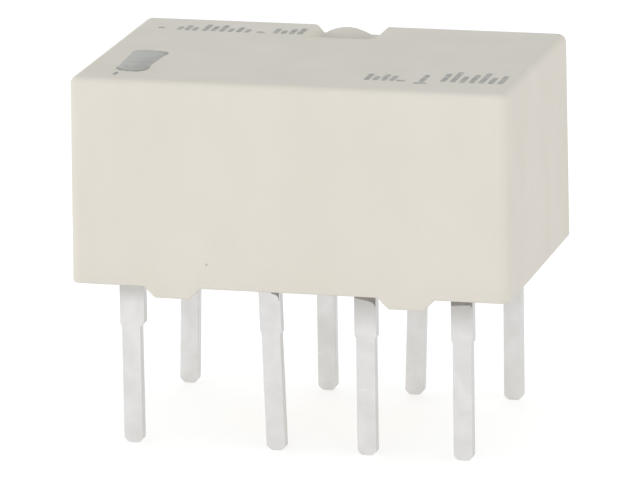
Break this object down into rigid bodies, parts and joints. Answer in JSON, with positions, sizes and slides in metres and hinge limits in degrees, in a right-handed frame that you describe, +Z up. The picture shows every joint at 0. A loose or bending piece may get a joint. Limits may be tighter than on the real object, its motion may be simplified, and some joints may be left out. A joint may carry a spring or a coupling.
{
  "type": "miniature signal relay",
  "caption": "Sealed miniature relay with changeover contacts, flat tinned through-hole terminals in two rows and stand-off feet, with coil, magnet and rocking armature inside.",
  "frame": {"origin": "centre of the terminal field on the board plane, which is the underside of the stand-off feet", "axes": "+X along the case towards the close-pitched terminals, away from the coil terminals; +Y across the case to the side with the roof pocket; +Z up, away from the board"},
  "size_m": [0.01, 0.0066, 0.0085],
  "materials": {
    "case_plastic": "fine matt moulded, ivory",
    "base_plastic": "matt moulded, black",
    "resin": "poured, glossy, cream",
    "tinned_terminal": "satin tin plate on copper alloy",
    "silver_contact": "silver alloy, bright",
    "bobbin_plastic": "matt moulded",
    "copper_wire": "enamelled copper",
    "soft_iron": "annealed, nickel flash",
    "magnet": "ground",
    "carrier_plastic": "matt moulded",
    "spring_alloy": "rolled, bright"
  },
  "bodies": {
    "housing": {"case_cover": "case_plastic", "base_block": "base_plastic", "seal_resin": "resin", "coil_terminal_front": "tinned_terminal", "coil_terminal_rear": "tinned_terminal", "break_terminal_front": "tinned_terminal", "break_terminal_rear": "tinned_terminal", "common_terminal_front": "tinned_terminal", "common_terminal_rear": "tinned_terminal", "make_terminal_front": "tinned_terminal", "make_terminal_rear": "tinned_terminal", "break_contact_front": "silver_contact", "break_contact_rear": "silver_contact", "make_contact_front": "silver_contact", "make_contact_rear": "silver_contact", "coil_bobbin": "bobbin_plastic", "coil_winding": "copper_wire", "iron_core": "soft_iron", "permanent_magnet": "magnet"},
    "armature": {"armature_plate": "soft_iron", "armature_carrier": "carrier_plastic", "moving_spring_front": "spring_alloy", "moving_spring_rear": "spring_alloy", "break_moving_contact_front": "silver_contact", "break_moving_contact_rear": "silver_contact", "make_moving_contact_front": "silver_contact", "make_moving_contact_rear": "silver_contact"}
  },
  "joints": [
    {"name": "armature_rock", "type": "hinge", "parent": "housing", "child": "armature", "pos_m": [0, 0, 0.00362], "axis": [0, 1, 0], "range_deg": [0, 5], "stiffness_Nm_per_rad": 0.002, "springref_deg": -2.86}
  ]
}
